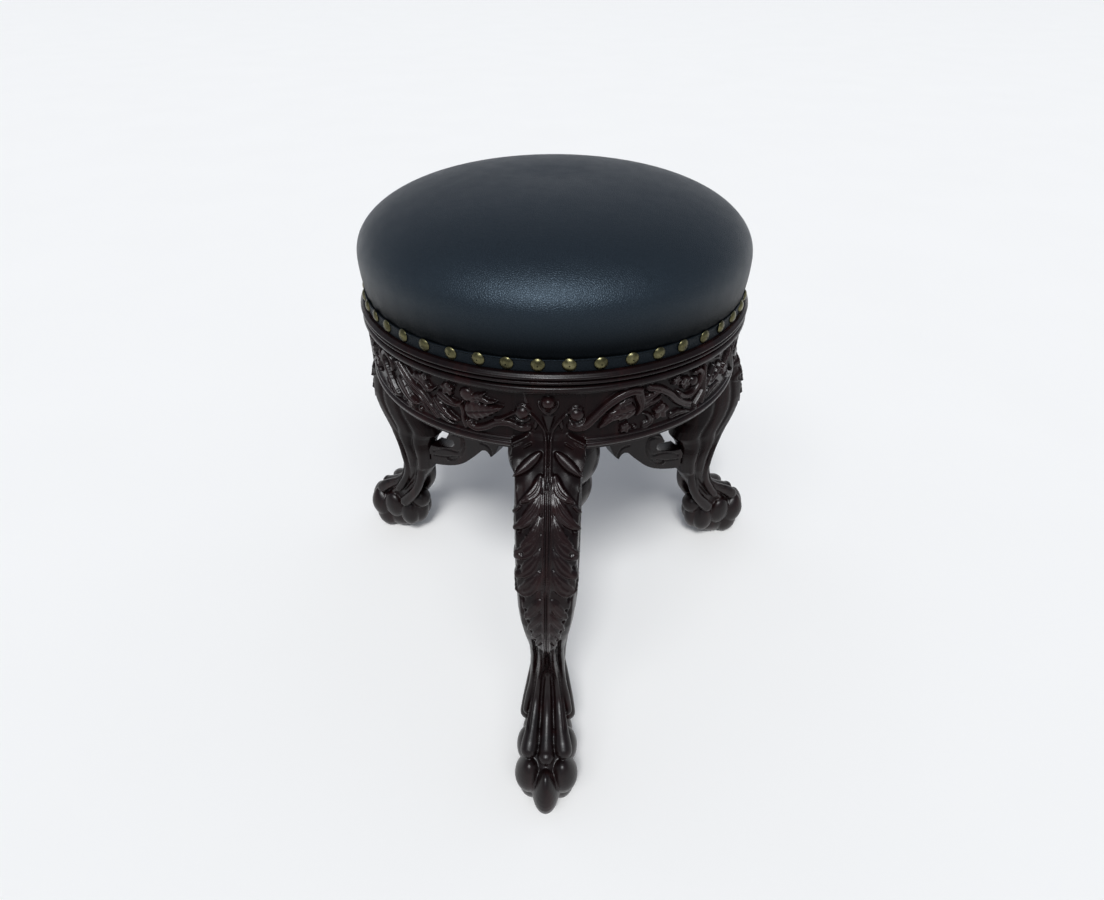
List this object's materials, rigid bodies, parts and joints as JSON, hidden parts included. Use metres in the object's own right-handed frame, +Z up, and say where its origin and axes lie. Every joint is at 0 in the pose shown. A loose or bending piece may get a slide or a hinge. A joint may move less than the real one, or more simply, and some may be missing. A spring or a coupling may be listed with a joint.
{
  "type": "piano stool",
  "caption": "Revolving piano stool: a padded leather seat with a nailed edge turns on a steel screw to set its height, over a carved drum, scrolled arms and paw-footed legs.",
  "frame": {"origin": "on the floor, under the middle of the stool's whole outline", "axes": "+Z up, along the seat's screw; -Y towards the front leg; +X towards the right leg as seen from the front"},
  "size_m": [0.5554, 0.5034, 0.534],
  "materials": {
    "polished_wood": "dark red-brown polished wood, glossy with worn edges",
    "leather": "black pebbled leather with a soft blue-grey sheen",
    "washer_leather": "plain brown sole leather",
    "stuffing": "hair stuffing under canvas",
    "brass": "aged antique brass",
    "iron": "dark cast iron",
    "steel": "oiled steel",
    "pine": "plain unpolished softwood"
  },
  "bodies": {
    "base": {"leg_front": "polished_wood", "leg_right": "polished_wood", "leg_left": "polished_wood", "apron_front_right": "polished_wood", "apron_back": "polished_wood", "apron_front_left": "polished_wood", "top_board": "polished_wood", "hub": "polished_wood", "hub_drop": "polished_wood", "arm_front": "polished_wood", "arm_right": "polished_wood", "arm_left": "polished_wood", "screw_nut": "iron", "nut_screws": "steel", "board_screws": "steel", "hub_screws": "steel", "glue_blocks": "pine", "apron_dowels": "pine"},
    "washer": {"thrust_washer": "washer_leather"},
    "seat": {"screw_spindle": "steel", "stop_collar": "iron", "stop_pin": "steel", "seat_flange": "iron", "flange_screws": "steel", "seat_board": "pine", "seat_rim": "polished_wood", "seat_padding": "stuffing", "seat_cover": "leather", "nailed_strip": "leather", "dome_nails": "brass"}
  },
  "joints": [
    {"name": "seat_turn", "type": "hinge", "parent": "base", "child": "washer", "pos_m": [0, 0.06525, 0.4205], "axis": [0, 0, 1], "range_deg": [0, 4320]},
    {"name": "seat_lift", "type": "slide", "parent": "washer", "child": "seat", "axis": [0, 0, 1], "range_m": [0, 0.096]}
  ],
  "couplings": [
    {"joint": "seat_lift", "follows": "seat_turn", "m_per_rad": 0.0012732}
  ]
}
